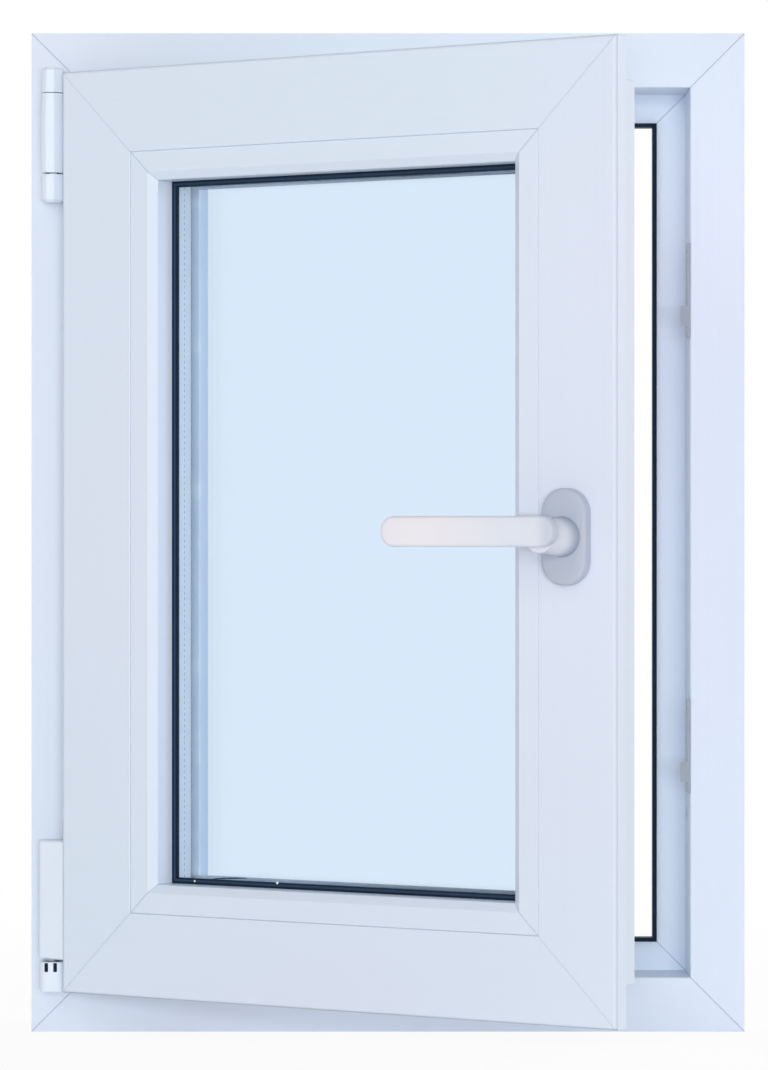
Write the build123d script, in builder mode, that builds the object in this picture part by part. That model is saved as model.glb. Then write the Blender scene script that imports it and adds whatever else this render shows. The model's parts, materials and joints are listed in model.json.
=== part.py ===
from build123d import *

import os

# A uPVC tilt and turn window: a mitred fixed frame and a mitred leaf that stands part open.
# Millimetres. Seen from the room, +X is to the right, +Y goes outdoors and +Z is up.
# The origin is the middle of the frame's bottom face.
# The leaf is drawn shut, on planes that carry it to the angle at which it stands open.

# Fixed frame, measured over its outside faces
frame_width = 500
frame_height = 700
frame_depth = 70

# Frame profile: a flat face to the room, a rebate floor, and a leg on the outdoor side
frame_face = 38
frame_leg_height = 22
frame_leg_thickness = 18
frame_edge_radius = 1.2
seam_width = 0.8
seam_depth = 0.4
wall_groove_width = 6
wall_groove_depth = 3
wall_groove_spacing = 40
fixing_hole_radius = 5
fixing_spacing = 400

# Leaf profile: a flange that laps the frame, a body in the rebate and a leg behind the glass
leaf_inset = 30
flange_gap = 6
flange_thickness = 14
flange_reach = 20
leaf_face = 58
leaf_edge_radius = 2.5
leaf_seal_gap = 5
glass_leg_thickness = 15
outer_step = 3
outer_step_setback = 12

# Hardware groove along the rebate face of the leaf, and the strips that cover it
groove_setback = 15
groove_width = 12
groove_depth = 9
strip_width = 16
strip_thickness = 2.5
strip_corner_radius = 4
strip_side_clearance = 0.2
strip_end_gap = 12

# Glazing: two panes and a spacer between seals, held by a bead on the room side
pane_thickness = 4
cavity_width = 16
glass_edge_gap = 4
spacer_cover = 16
glazing_seal_thickness = 3
glazing_seal_lip = 4
glazing_seal_cover = 6
glazing_seal_radius = 1
spacer_edge_gap = 1
bead_width = 20
bead_setback = 0.5
bead_slope_width = 5.5
bead_slope_drop = 4.5
bead_edge_radius = 0.8

# Seals between the leaf and the frame
frame_seal_lip = 1.5
frame_seal_clearance = 0.4
frame_seal_cover = 1.5
frame_seal_wrap = 6
frame_seal_radius = 0.8
leaf_seal_width = 5
leaf_seal_height = 1.4
leaf_seal_setback = 3
leaf_seal_radius = 0.8

# Hinge side: the upright pivot stands outside the leaf's edge
open_angle = 32
pivot_offset = 14
pivot_projection = 11
tilt_axis_height = 39
running_gap = 0.3

# Top hinge on the frame: two caps on a backplate with the stay's barrel between them
cap_radius = 7.5
cap_corner = 3.5
cap_corner_radius = 2.5
cap_facet_start = 1.2
cap_facet_drop = 4.5
barrel_swell = 1.09
barrel_length = 55.5
upper_cap_gap = 0.5
lower_cap_gap = 1.2
barrel_waist = 0.3
lower_cap_height = 19.3
upper_cap_height = 17.5
hinge_pin_radius = 3
backplate_width = 15
backplate_thickness = 1.5
backplate_corner_radius = 2
web_width = 9
cap_edge_chamfer = 1.8
knuckle_radius = 5.5
tab_slot_depth = 8

# Bottom hinge: a bearing block, a turning cup in it and a post that tilts in the cup
block_width = 18
block_bottom = 30
block_height = 20.5
block_nose = 9
block_corner_radius = 6
block_edge_chamfer = 0.8
block_slot_spacing = 6.2
block_slot_shift = -1
block_slot_width = 2.6
block_slot_height = 6.8
block_slot_depth = 1.6
cup_radius = 6.5
cup_wall = 1.3
cup_floor_height = 33
cup_height = 12
post_radius = 3.8
cross_pin_radius = 1.5
cover_width = 16
cover_bottom = 52.5
cover_top = 135
cover_nose = 7
cover_corner_radius = 2.5
cover_leaf_gap = 0.5
cover_edge_chamfer = 1
band_thickness = 1.5
band_width = 11
band_corner_radius = 3
band_top = 150
band_lug_height = 5
band_lug_inset = 15

# Stay arm in the top rebate, its pin and the slot the pin runs in
arm_height_above_leaf = 3.5
arm_thickness = 3
arm_width = 16
arm_reach = 250
arm_tab_thickness = 2.5
arm_tab_height = 15
arm_tab_bend = 1
arm_corner_clearance = 6
arm_shoulder = 8
arm_crank_start = 16
arm_crank_end = 24
stay_pin_radius = 3
stay_pin_length = 11
stay_slot_width = 9.5
stay_slot_length = 20
stay_slot_offset = -4

# Sliding cams and the keeps on the frame that they lock into
cam_travel = 18
cam_neck_radius = 3
cam_head_radius = 4.5
cam_neck_length = 4.5
cam_height = 8
cam_slot_clearance = 0.3
cam_end_clearance = 0.5
cam_rod_width = 8
cam_rod_thickness = 2.5
cam_rod_margin = 6
lower_cam_height = 170
upper_cam_drop = 150
top_cam_setback = 90
tilt_cam_setback = 80
keep_length = 66
keep_width = 17
keep_thickness = 2
keep_lip_length = 14
keep_corner_radius = 2
keep_lip_height = 7
keep_lip_thickness = 2

# Handle
handle_height = 347
handle_inset = 35
handle_plate_width = 33
handle_plate_height = 63
handle_plate_thickness = 9
handle_plate_chamfer = 2
spindle_radius = 6
spindle_length = 6
neck_radius = 12.5
neck_top_radius = 10.2
neck_length = 26
lever_length = 116
lever_width = 20
lever_thickness = 11
lever_rise = 2.5
lever_chamfer = 2.5

# Drainage: slots in the bottom rail's rebate, and hooded caps on its outdoor face
drain_slot_length = 28
drain_slot_width = 5
drain_slot_depth = 8
drain_slot_setback = 8
drain_cap_length = 42
drain_cap_height = 12
drain_cap_thickness = 4
drain_cap_slope = 5
drain_cap_lip = 1
drain_spacing = 300
drain_cap_z = 20

# Depths along Y, worked out from the profile
room_face = -frame_depth / 2
outdoor_face = frame_depth / 2
frame_leg_front = outdoor_face - frame_leg_thickness
flange_back = room_face - flange_gap
leaf_front = flange_back - flange_thickness
leaf_back = frame_leg_front - leaf_seal_gap
groove_y = flange_back + groove_setback
outer_step_y = groove_y + outer_step_setback
glass_leg_front = leaf_back - glass_leg_thickness
outer_pane_back = glass_leg_front - glazing_seal_thickness
outer_pane_front = outer_pane_back - pane_thickness
inner_pane_back = outer_pane_front - cavity_width
inner_pane_front = inner_pane_back - pane_thickness
bead_back = inner_pane_front - glazing_seal_thickness
bead_front = leaf_front + bead_setback

# Leaf size and the places that follow from it
leaf_width = frame_width - 2 * leaf_inset
leaf_height = frame_height - 2 * leaf_inset
leaf_left = -leaf_width / 2
leaf_right = leaf_width / 2
leaf_bottom = leaf_inset
leaf_top = frame_height - leaf_inset
rebate_left = leaf_left + flange_reach
rebate_right = leaf_right - flange_reach
rebate_bottom = leaf_bottom + flange_reach
rebate_top = leaf_top - flange_reach
frame_leg_reach = frame_face + frame_leg_height
pane_inset = leaf_face + glass_edge_gap
daylight_inset = leaf_face + bead_width
pivot_x = leaf_left - pivot_offset
pivot_y = room_face - pivot_projection
handle_x = leaf_right - handle_inset
lock_cam_heights = (leaf_bottom + lower_cam_height, leaf_top - upper_cam_drop)
top_cam_x = rebate_right - top_cam_setback
tilt_cam_x = rebate_right - tilt_cam_setback

os.makedirs("parts", exist_ok=True)


def save(piece, name):
    """Label a finished piece and write its file."""
    piece.part.label = name
    export_step(piece.part, f"parts/{name}.step")


# The turn of the open leaf about the upright pivot
pivot = Location((pivot_x, pivot_y, 0))
leaf_swing = pivot * Location((0, 0, 0), (0, 0, -open_angle)) * pivot.inverse()


def fixed(origin, x_dir, z_dir):
    """A plane on the fixed frame."""
    return Plane(origin=origin, x_dir=x_dir, z_dir=z_dir)


def on_leaf(origin, x_dir, z_dir):
    """A plane given where the leaf is shut, carried to where it stands open."""
    shut = Plane(origin=origin, x_dir=x_dir, z_dir=z_dir)
    return Plane(leaf_swing * shut.location)




# Rings of mitred members
def sides(width, height, bottom):
    """The four sides of a ring: start corner, direction of run, direction inwards and length."""
    left = Vector(-width / 2, 0, bottom)
    right = Vector(width / 2, 0, bottom)
    up = Vector(0, 0, 1)
    across = Vector(1, 0, 0)
    return {
        "top": (left + up * height, across, -up, width),
        "bottom": (right, -across, up, width),
        "hinge": (left, up, across, height),
        "lock": (right + up * height, -up, -across, height),
    }


frame_seams = ((room_face, 1), (outdoor_face, -1), (frame_leg_front, 1))
leaf_seams = ((leaf_front, 1), (leaf_back, -1))
seam_reach = daylight_inset * 2
frame_sides = sides(frame_width, frame_height, 0)
leaf_sides = sides(leaf_width, leaf_height, leaf_bottom)


def mitred(profile, side, place, seams=()):
    """One member: a profile run along a side and cut at 45 degrees at both corners.

    Each seam is a depth whose face shows, and the sign of the way into the profile there: the weld
    at the mitre leaves a fine V-shaped groove in that face, half of it in each member.
    """
    start, along, inward, length = side
    finish = start + along * length
    with BuildPart() as member:
        with BuildSketch(place(start, inward, along)):
            add(profile.sketch)
        extrude(amount=length)
        for (corner, run) in ((start, along), (finish, -along)):
            split(bisect_by=place(corner, inward + run, run - inward), keep=Keep.TOP)
            for (depth, into) in seams:
                with BuildSketch(place(corner, (0, 1, 0), run + inward)):
                    with BuildLine():
                        Polyline(
                            (depth, -seam_width / 2),
                            (depth, seam_width / 2),
                            (depth + into * seam_depth, 0),
                            close=True,
                        )
                    make_face()
                extrude(amount=seam_reach, mode=Mode.SUBTRACT)
    return member


def round_corners(radius, *points):
    """Round the corners of the sketch in hand that lie nearest the given points."""
    fillet([vertices().sort_by_distance((x, y, 0))[0] for (x, y) in points], radius)


def bevel_corners(size, *points):
    """Bevel the corners of the sketch in hand that lie nearest the given points."""
    chamfer([vertices().sort_by_distance((x, y, 0))[0] for (x, y) in points], size)


def box_profile(low_x, low_y, high_x, high_y):
    """A rectangle given by two opposite corners."""
    with Locations(((low_x + high_x) / 2, (low_y + high_y) / 2)):
        Rectangle(high_x - low_x, high_y - low_y)


# Profiles, drawn with X inwards from the outer edge and Y along the window's depth
with BuildSketch() as frame_profile:
    with BuildLine():
        Polyline(
            (0, room_face),
            (frame_face, room_face),
            (frame_face, frame_leg_front),
            (frame_leg_reach, frame_leg_front),
            (frame_leg_reach, outdoor_face),
            (0, outdoor_face),
            close=True,
        )
    make_face()
    round_corners(frame_edge_radius, (frame_face, room_face))
    bevel_corners(frame_edge_radius, (frame_leg_reach, outdoor_face))
    with GridLocations(0, wall_groove_spacing, 1, 2):
        Rectangle(2 * wall_groove_depth, wall_groove_width, mode=Mode.SUBTRACT)


with BuildSketch() as leaf_profile:
    with BuildLine():
        Polyline(
            (0, leaf_front),
            (leaf_face, leaf_front),
            (leaf_face, glass_leg_front),
            (daylight_inset, glass_leg_front),
            (daylight_inset, leaf_back),
            (flange_reach + outer_step, leaf_back),
            (flange_reach + outer_step, outer_step_y),
            (flange_reach, outer_step_y),
            (flange_reach, flange_back),
            (0, flange_back),
            close=True,
        )
    make_face()
    round_corners(leaf_edge_radius, (0, leaf_front))
    round_corners(bead_edge_radius, (leaf_face, leaf_front))
    bevel_corners(
        bead_edge_radius,
        (0, flange_back),
        (daylight_inset, leaf_back),
        (flange_reach + outer_step, leaf_back),
    )
    with Locations((flange_reach, groove_y)):
        Rectangle(2 * groove_depth, groove_width, mode=Mode.SUBTRACT)
        Rectangle(2 * strip_thickness, strip_width + 2 * strip_side_clearance, mode=Mode.SUBTRACT)


with BuildSketch() as bead_profile:
    with BuildLine():
        Polyline(
            (leaf_face, bead_front),
            (daylight_inset - bead_slope_width, bead_front),
            (daylight_inset, bead_front + bead_slope_drop),
            (daylight_inset, bead_back),
            (leaf_face, bead_back),
            close=True,
        )
    make_face()
    round_corners(
        bead_edge_radius,
        (leaf_face, bead_front),
        (daylight_inset - bead_slope_width, bead_front),
        (daylight_inset, bead_front + bead_slope_drop),
    )


with BuildSketch() as inner_seal_profile:
    box_profile(
        daylight_inset - glazing_seal_cover, bead_back,
        daylight_inset + glazing_seal_lip, inner_pane_front,
    )
    round_corners(glazing_seal_radius, (daylight_inset + glazing_seal_lip, bead_back))


with BuildSketch() as outer_seal_profile:
    box_profile(
        daylight_inset - glazing_seal_cover, outer_pane_back,
        daylight_inset + glazing_seal_lip, glass_leg_front,
    )
    round_corners(glazing_seal_radius, (daylight_inset + glazing_seal_lip, glass_leg_front))


with BuildSketch() as spacer_profile:
    box_profile(
        pane_inset + spacer_edge_gap, inner_pane_back,
        pane_inset + spacer_cover, outer_pane_front,
    )


seal_front = leaf_back + frame_seal_clearance
with BuildSketch() as frame_seal_profile:
    with BuildLine():
        Polyline(
            (frame_leg_reach - frame_seal_cover, frame_leg_front),
            (frame_leg_reach - frame_seal_cover, seal_front),
            (frame_leg_reach + frame_seal_lip, seal_front),
            (frame_leg_reach + frame_seal_lip, frame_leg_front + frame_seal_wrap),
            (frame_leg_reach, frame_leg_front + frame_seal_wrap),
            (frame_leg_reach, frame_leg_front),
            close=True,
        )
    make_face()
    round_corners(
        frame_seal_radius,
        (frame_leg_reach - frame_seal_cover, seal_front),
        (frame_leg_reach + frame_seal_lip, seal_front),
    )


with BuildSketch() as leaf_seal_profile:
    with BuildLine():
        Polyline(
            (leaf_seal_setback, flange_back),
            (leaf_seal_setback + leaf_seal_width, flange_back),
            (leaf_seal_setback + leaf_seal_width / 2, flange_back + leaf_seal_height),
            close=True,
        )
    make_face()
    round_corners(
        leaf_seal_radius,
        (leaf_seal_setback + leaf_seal_width / 2, flange_back + leaf_seal_height),
    )


def ring(profile, ring_sides, place):
    """A profile run round all four sides as one mitred ring."""
    members = [mitred(profile, side, place) for side in ring_sides.values()]
    with BuildPart() as whole:
        for member in members:
            add(member.part)
    return whole


# Fixed frame: four mitred members, the jambs drilled for wall fixings
frame_top_rail = mitred(frame_profile, frame_sides["top"], fixed, frame_seams)
save(frame_top_rail, "frame_top_rail")

drain_slot_y = frame_leg_front - drain_slot_setback
with BuildPart() as frame_bottom_rail:
    add(mitred(frame_profile, frame_sides["bottom"], fixed, frame_seams).part)
    with BuildSketch(fixed((0, drain_slot_y, frame_face), (1, 0, 0), (0, 0, 1))):
        with GridLocations(drain_spacing, 0, 2, 1):
            SlotOverall(drain_slot_length, drain_slot_width)
    extrude(amount=-drain_slot_depth, mode=Mode.SUBTRACT)
save(frame_bottom_rail, "frame_bottom_rail")


def drilled_jamb(side, direction):
    """A jamb with two fixing holes through the middle of its rebate floor."""
    member = mitred(frame_profile, side, fixed, frame_seams)
    outer_x = -direction * frame_width / 2
    with BuildPart() as jamb:
        add(member.part)
        with BuildSketch(fixed((outer_x, 0, frame_height / 2), (0, 1, 0), (direction, 0, 0))):
            with GridLocations(0, fixing_spacing, 1, 2):
                Circle(fixing_hole_radius)
        extrude(amount=frame_face, mode=Mode.SUBTRACT)
    return jamb


frame_hinge_jamb = drilled_jamb(frame_sides["hinge"], 1)
save(frame_hinge_jamb, "frame_hinge_jamb")

frame_lock_jamb = drilled_jamb(frame_sides["lock"], -1)
save(frame_lock_jamb, "frame_lock_jamb")

frame_seal = ring(frame_seal_profile, frame_sides, fixed)
save(frame_seal, "frame_seal")


# Leaf: four mitred members, the lock stile bored for the handle's spindle
leaf_top_rail = mitred(leaf_profile, leaf_sides["top"], on_leaf, leaf_seams)
save(leaf_top_rail, "leaf_top_rail")

leaf_bottom_rail = mitred(leaf_profile, leaf_sides["bottom"], on_leaf, leaf_seams)
save(leaf_bottom_rail, "leaf_bottom_rail")

leaf_hinge_stile = mitred(leaf_profile, leaf_sides["hinge"], on_leaf, leaf_seams)
save(leaf_hinge_stile, "leaf_hinge_stile")

leaf_lock_stile = mitred(leaf_profile, leaf_sides["lock"], on_leaf, leaf_seams)
save(leaf_lock_stile, "leaf_lock_stile")

for side_name in ("top", "bottom", "hinge", "lock"):
    bead = mitred(bead_profile, leaf_sides[side_name], on_leaf, ((bead_front, 1),))
    save(bead, f"glazing_bead_{side_name}")

inner_glazing_seal = ring(inner_seal_profile, leaf_sides, on_leaf)
save(inner_glazing_seal, "inner_glazing_seal")

outer_glazing_seal = ring(outer_seal_profile, leaf_sides, on_leaf)
save(outer_glazing_seal, "outer_glazing_seal")

glass_spacer = ring(spacer_profile, leaf_sides, on_leaf)
save(glass_spacer, "glass_spacer")

leaf_overlap_seal = ring(leaf_seal_profile, leaf_sides, on_leaf)
save(leaf_overlap_seal, "leaf_overlap_seal")


# Panes
def pane(front):
    """One sheet of glass, its front face at the given depth."""
    middle = (0, front, leaf_bottom + leaf_height / 2)
    with BuildPart() as sheet:
        with BuildSketch(on_leaf(middle, (1, 0, 0), (0, 1, 0))):
            Rectangle(leaf_width - 2 * pane_inset, leaf_height - 2 * pane_inset)
        extrude(amount=pane_thickness)
    return sheet


inner_pane = pane(inner_pane_front)
save(inner_pane, "inner_pane")

outer_pane = pane(outer_pane_front)
save(outer_pane, "outer_pane")


# Hardware strips that close the groove, each with the slots its pins slide in
def strip(start, along, outward, length, slots):
    """A strip let into the groove; slots are (distance along, slot length, slot width)."""
    with BuildPart() as cover:
        with BuildSketch(on_leaf(start, along, outward)):
            with Locations((length / 2, 0)):
                RectangleRounded(length, strip_width, strip_corner_radius)
            for (distance, slot_length, slot_width) in slots:
                with Locations((distance, 0)):
                    SlotOverall(slot_length, slot_width, mode=Mode.SUBTRACT)
        extrude(amount=-strip_thickness)
    return cover


cam_slot_width = 2 * (cam_neck_radius + cam_slot_clearance)
cam_slot_length = 2 * (cam_travel + cam_end_clearance) + cam_slot_width
stay_pin_x = pivot_x + arm_reach

lock_strip_bottom = rebate_bottom + strip_end_gap
lock_strip = strip(
    (rebate_right, groove_y, lock_strip_bottom),
    (0, 0, 1),
    (1, 0, 0),
    rebate_top - rebate_bottom - 2 * strip_end_gap,
    [(z - lock_strip_bottom, cam_slot_length, cam_slot_width) for z in lock_cam_heights],
)
save(lock_strip, "lock_strip")

top_strip_left = rebate_left + strip_end_gap
top_strip = strip(
    (top_strip_left, groove_y, rebate_top),
    (1, 0, 0),
    (0, 0, 1),
    rebate_right - rebate_left - 2 * strip_end_gap,
    [
        (stay_pin_x + stay_slot_offset - top_strip_left, stay_slot_length, stay_slot_width),
        (top_cam_x - top_strip_left, cam_slot_length, cam_slot_width),
    ],
)
save(top_strip, "top_strip")

bottom_strip_left = rebate_left + strip_end_gap
bottom_strip = strip(
    (bottom_strip_left, groove_y, rebate_bottom),
    (1, 0, 0),
    (0, 0, -1),
    rebate_right - rebate_left - 2 * strip_end_gap,
    [(tilt_cam_x - bottom_strip_left, cam_slot_length, cam_slot_width)],
)
save(bottom_strip, "bottom_strip")


# Cams: mushroom heads on necks that stand on a sliding rod behind the strip
def cams(origin, along, outward, distances):
    """A rod in the groove with one cam at each distance along it."""
    rod_front = -strip_thickness - running_gap
    rod_ends = cam_slot_length / 2 + cam_rod_margin
    rod_length = distances[-1] - distances[0] + 2 * rod_ends
    rod_middle = (distances[0] + distances[-1]) / 2
    normal = Vector(outward)
    base = Vector(origin) + normal * rod_front
    with BuildPart() as cam_rod:
        with BuildSketch(on_leaf(base, along, outward)):
            with Locations((rod_middle, 0)):
                Rectangle(rod_length, cam_rod_width)
        extrude(amount=-cam_rod_thickness)
        with BuildSketch(on_leaf(base, along, outward)):
            with Locations([(distance, 0) for distance in distances]):
                Circle(cam_neck_radius)
        extrude(amount=cam_height - rod_front)
        with BuildSketch(on_leaf(Vector(origin) + normal * cam_neck_length, along, outward)):
            with Locations([(distance, 0) for distance in distances]):
                Circle(cam_head_radius)
        extrude(amount=cam_height - cam_neck_length)
    return cam_rod


lock_cams = cams((rebate_right, groove_y, 0), (0, 0, 1), (1, 0, 0), lock_cam_heights)
save(lock_cams, "lock_cams")

top_cam = cams((0, groove_y, rebate_top), (1, 0, 0), (0, 0, 1), [top_cam_x])
save(top_cam, "top_cam")

tilt_cam = cams((0, groove_y, rebate_bottom), (1, 0, 0), (0, 0, -1), [tilt_cam_x])
save(tilt_cam, "tilt_cam")


# Keeps on the frame: a plate on the rebate floor with a lip on the room side where the cam locks
def keep(origin, along, inward, locked_shift):
    """A keep centred on its cam's middle place, its lip where the locked cam stands."""
    floor = Vector(origin) + Vector(0, room_face + keep_width / 2, 0)
    corner = (keep_length / 2, keep_width / 2)
    with BuildPart() as striker:
        with BuildSketch(fixed(floor, along, inward)):
            Rectangle(keep_length, keep_width)
            round_corners(keep_corner_radius, corner, (-corner[0], corner[1]))
        extrude(amount=keep_thickness)
        with BuildSketch(fixed(floor, along, inward)):
            with Locations((locked_shift, (keep_lip_thickness - keep_width) / 2)):
                Rectangle(keep_lip_length, keep_lip_thickness)
        extrude(amount=keep_lip_height)
    return striker


frame_floor_right = frame_width / 2 - frame_face
frame_floor_top = frame_height - frame_face

for (keep_name, cam_z) in zip(("lower", "upper"), lock_cam_heights):
    lock_keep = keep((frame_floor_right, 0, cam_z), (0, 0, 1), (-1, 0, 0), -cam_travel)
    save(lock_keep, f"lock_keep_{keep_name}")

top_keep = keep((top_cam_x, 0, frame_floor_top), (-1, 0, 0), (0, 0, -1), -cam_travel)
save(top_keep, "top_keep")

tilt_keep = keep((tilt_cam_x, 0, frame_face), (1, 0, 0), (0, 0, 1), cam_travel)
save(tilt_keep, "tilt_keep")


# Top hinge on the frame: a backplate, two caps on webs and the pin between the caps
arm_bottom = rebate_top + arm_height_above_leaf
arm_top = arm_bottom + arm_thickness
barrel_top = arm_top
barrel_bottom = barrel_top - barrel_length
lower_cap_bottom = barrel_bottom - lower_cap_gap - lower_cap_height
upper_cap_bottom = barrel_top + upper_cap_gap
upper_cap_top = upper_cap_bottom + upper_cap_height
bracket_height = upper_cap_top - lower_cap_bottom


def level(height):
    """A horizontal plane on the upright pivot of the fixed frame."""
    return Plane.XY.offset(height).shift_origin((pivot_x, pivot_y, height))


# Section of the caps and the barrel: flat to the room, with a broad facet on the leaf's side
with BuildSketch() as cap_profile:
    with BuildLine():
        Polyline(
            (-cap_radius, cap_radius - cap_corner),
            (-cap_radius, cap_corner - cap_radius),
            (cap_corner - cap_radius, -cap_radius),
            (cap_facet_start, -cap_radius),
            (cap_radius, cap_facet_drop - cap_radius),
            (cap_radius, cap_radius - cap_corner),
            (cap_radius - cap_corner, cap_radius),
            (cap_corner - cap_radius, cap_radius),
            close=True,
        )
    make_face()
    round_corners(
        cap_corner_radius,
        (-cap_radius, cap_corner - cap_radius),
        (cap_corner - cap_radius, -cap_radius),
        (cap_radius, cap_facet_drop - cap_radius),
    )


with BuildPart() as top_hinge_bracket:
    bracket_middle = (pivot_x, room_face, lower_cap_bottom + bracket_height / 2)
    with BuildSketch(fixed(bracket_middle, (1, 0, 0), (0, -1, 0))):
        RectangleRounded(backplate_width, bracket_height, backplate_corner_radius)
    extrude(amount=backplate_thickness)
    for (cap_bottom, cap_height) in (
        (lower_cap_bottom, lower_cap_height),
        (upper_cap_bottom, upper_cap_height),
    ):
        with BuildSketch(level(cap_bottom)):
            add(cap_profile.sketch)
            with Locations((0, pivot_projection / 2)):
                Rectangle(web_width, pivot_projection)
        extrude(amount=cap_height)
    with BuildSketch(level(lower_cap_bottom + lower_cap_height)):
        Circle(hinge_pin_radius)
    extrude(amount=upper_cap_bottom - lower_cap_bottom - lower_cap_height)
    cap_ends = top_hinge_bracket.faces().filter_by(Axis.Z).sort_by(Axis.Z)
    room_edges = [
        edge
        for edge in cap_ends[0].edges() + cap_ends[-1].edges()
        if edge.center().Y < pivot_y
    ]
    chamfer(room_edges, cap_edge_chamfer)
save(top_hinge_bracket, "top_hinge_bracket")


# Stay arm: a knuckle on the pin, a cranked tab through the gap and an arm over the leaf's top
def on_leaf_level(height):
    """A horizontal plane on the upright pivot, turned with the leaf."""
    return on_leaf((pivot_x, pivot_y, height), (1, 0, 0), (0, 0, 1))


tab_front = pivot_projection - (flange_gap + arm_tab_thickness) / 2
tab_back = tab_front + arm_tab_thickness
rebate_turn = (frame_face - frame_width / 2) - pivot_x + arm_corner_clearance
arm_front = groove_y - pivot_y - arm_width / 2
arm_back = arm_front + arm_width

with BuildPart() as stay_arm:
    with BuildSketch(on_leaf_level(barrel_bottom)):
        Circle(knuckle_radius)
    extrude(amount=barrel_top - barrel_bottom)
    with BuildSketch(on_leaf_level(arm_top - arm_tab_height)):
        with BuildLine():
            Polyline(
                (0, knuckle_radius - arm_tab_thickness),
                (0, knuckle_radius),
                (knuckle_radius, tab_back),
                (rebate_turn + arm_tab_thickness, tab_back),
                (rebate_turn + arm_tab_thickness, tab_front),
                (knuckle_radius + arm_tab_bend, tab_front),
                (knuckle_radius / 2, knuckle_radius - arm_tab_thickness),
                close=True,
            )
        make_face()
    extrude(amount=arm_tab_height)
    with BuildSketch(on_leaf_level(arm_bottom)):
        with BuildLine():
            Polyline(
                (rebate_turn - arm_shoulder, tab_front),
                (rebate_turn + arm_crank_start, tab_front),
                (rebate_turn + arm_crank_end, arm_front),
                (arm_reach, arm_front),
                (arm_reach, arm_back),
                (rebate_turn + arm_shoulder, arm_back),
                (rebate_turn, arm_back - arm_shoulder),
                (rebate_turn, tab_back),
                (rebate_turn - arm_shoulder, tab_back),
                close=True,
            )
        make_face()
        with Locations((arm_reach, (arm_front + arm_back) / 2)):
            Circle(arm_width / 2)
    extrude(amount=arm_thickness)
    with BuildSketch(on_leaf((stay_pin_x, groove_y, arm_bottom), (1, 0, 0), (0, 0, -1))):
        Circle(stay_pin_radius)
    extrude(amount=stay_pin_length)
    with BuildSketch(on_leaf_level(barrel_bottom)):
        Circle(hinge_pin_radius + running_gap)
    extrude(amount=barrel_top - barrel_bottom, mode=Mode.SUBTRACT)
save(stay_arm, "stay_arm")

with BuildPart() as top_hinge_barrel:
    for (share, swell) in (
        (0, 1),
        (barrel_waist, barrel_swell),
        (1 - barrel_waist, barrel_swell),
        (1, 1),
    ):
        with BuildSketch(level(barrel_bottom + barrel_length * share)):
            add(cap_profile.sketch)
            scale(by=swell)
    loft(ruled=True)
    with BuildSketch(level(barrel_bottom)):
        Circle(knuckle_radius)
    extrude(amount=barrel_length, mode=Mode.SUBTRACT)
    with BuildSketch(on_leaf_level(arm_top - arm_tab_height - running_gap)):
        with Locations((knuckle_radius, tab_back - tab_slot_depth / 2)):
            Rectangle(2 * backplate_width, tab_slot_depth)
    extrude(amount=arm_tab_height + running_gap, mode=Mode.SUBTRACT)
save(top_hinge_barrel, "top_hinge_barrel")


# Bottom hinge: the block on the frame, the cup that turns in it and the band on the leaf
block_top = block_bottom + block_height
with BuildPart() as bottom_hinge_block:
    with BuildSketch(level(block_bottom)):
        with Locations((0, (pivot_projection - block_nose) / 2)):
            Rectangle(block_width, pivot_projection + block_nose)
        round_corners(
            block_corner_radius,
            (-block_width / 2, -block_nose),
            (block_width / 2, -block_nose),
        )
    extrude(amount=block_height)
    chamfer(bottom_hinge_block.faces().sort_by(Axis.Z)[-1].edges(), block_edge_chamfer)
    with BuildSketch(fixed((pivot_x + block_slot_shift, pivot_y - block_nose, block_top),
                           (1, 0, 0), (0, -1, 0))):
        with GridLocations(block_slot_spacing, 0, 2, 1):
            Rectangle(block_slot_width, 2 * block_slot_height)
    extrude(amount=-block_slot_depth, mode=Mode.SUBTRACT)
    with BuildSketch(level(cup_floor_height)):
        Circle(cup_radius + running_gap)
    extrude(amount=block_top - cup_floor_height, mode=Mode.SUBTRACT)
save(bottom_hinge_block, "bottom_hinge_block")

cup_bottom = cup_floor_height + running_gap
with BuildPart() as hinge_cup:
    with BuildSketch(on_leaf_level(cup_bottom)):
        Circle(cup_radius)
    extrude(amount=cup_height)
    with BuildSketch(on_leaf_level(cup_bottom + cup_wall)):
        Circle(cup_radius - cup_wall)
    extrude(amount=cup_height, mode=Mode.SUBTRACT)
    with BuildSketch(on_leaf((pivot_x - cup_radius + cup_wall / 2, pivot_y, tilt_axis_height),
                             (0, 1, 0), (1, 0, 0))):
        Circle(cross_pin_radius)
    extrude(amount=2 * cup_radius - cup_wall)
save(hinge_cup, "hinge_cup")

band_lug_bottom = cover_bottom + running_gap
post_bottom = tilt_axis_height - post_radius + running_gap
with BuildPart() as bottom_hinge_band:
    with BuildSketch(on_leaf_level(post_bottom)):
        Circle(post_radius)
    extrude(amount=band_lug_bottom + band_lug_height - post_bottom)
    with BuildSketch(on_leaf((pivot_x - post_radius, pivot_y, tilt_axis_height),
                             (0, 1, 0), (1, 0, 0))):
        Circle(cross_pin_radius + running_gap)
    extrude(amount=2 * post_radius, mode=Mode.SUBTRACT)
    for lug_bottom in (band_lug_bottom, cover_top - band_lug_inset):
        with BuildSketch(on_leaf_level(lug_bottom)):
            with Locations((pivot_offset / 2, 0)):
                Rectangle(pivot_offset, 2 * post_radius)
            Circle(post_radius)
        extrude(amount=band_lug_height)
    with BuildSketch(on_leaf((leaf_left, pivot_y, (band_lug_bottom + band_top) / 2),
                             (0, 0, 1), (-1, 0, 0))):
        RectangleRounded(band_top - band_lug_bottom, band_width, band_corner_radius)
    extrude(amount=band_thickness)
save(bottom_hinge_band, "bottom_hinge_band")

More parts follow.
